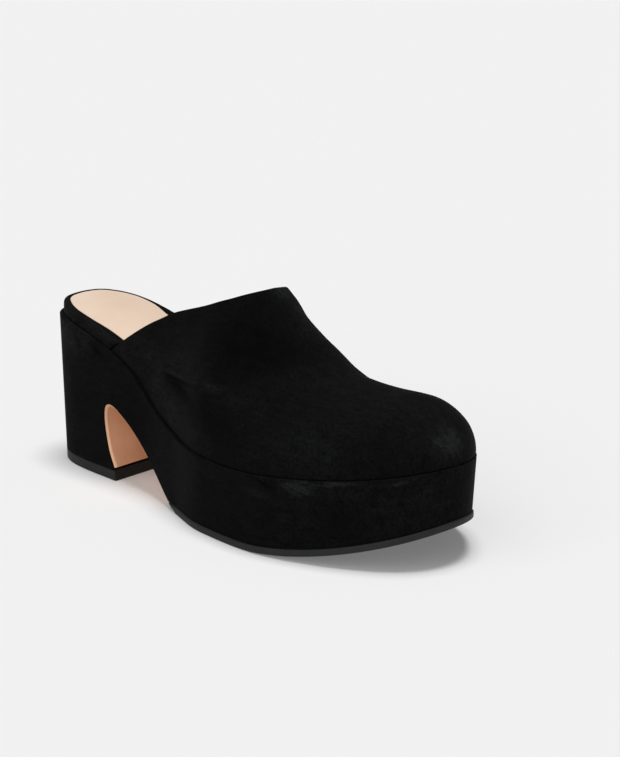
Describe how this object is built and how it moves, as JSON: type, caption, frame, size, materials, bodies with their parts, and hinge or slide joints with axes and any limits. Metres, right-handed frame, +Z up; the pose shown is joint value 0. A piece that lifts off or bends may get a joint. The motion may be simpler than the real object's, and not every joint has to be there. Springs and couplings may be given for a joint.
{
  "type": "platform mule shoe",
  "caption": "Women's right platform mule with a closed rounded toe, open back, block heel, arched waist, leather insole and rubber treads.",
  "frame": {"origin": "bottom centre of the shoe's box, on the floor it stands on", "axes": "+X to the toe, -Y to the outer side of the foot, +Y to the inner side, +Z up"},
  "size_m": [0.244, 0.0976, 0.1061],
  "materials": {
    "outsole_rubber": "matt dark grey rubber",
    "lift_rubber": "matt black rubber",
    "block_suede": "black suede with a short nap",
    "cover_leather": "smooth tan leather",
    "rand_suede": "black suede with a short nap",
    "insole_leather": "smooth pale nude leather",
    "upper_suede": "black suede with a short nap"
  },
  "bodies": {
    "root": {"outsole": "outsole_rubber", "top_lift": "lift_rubber", "sole_block": "block_suede", "waist_cover": "cover_leather", "footbed": "rand_suede", "insole": "insole_leather", "upper": "upper_suede"}
  },
  "joints": []
}
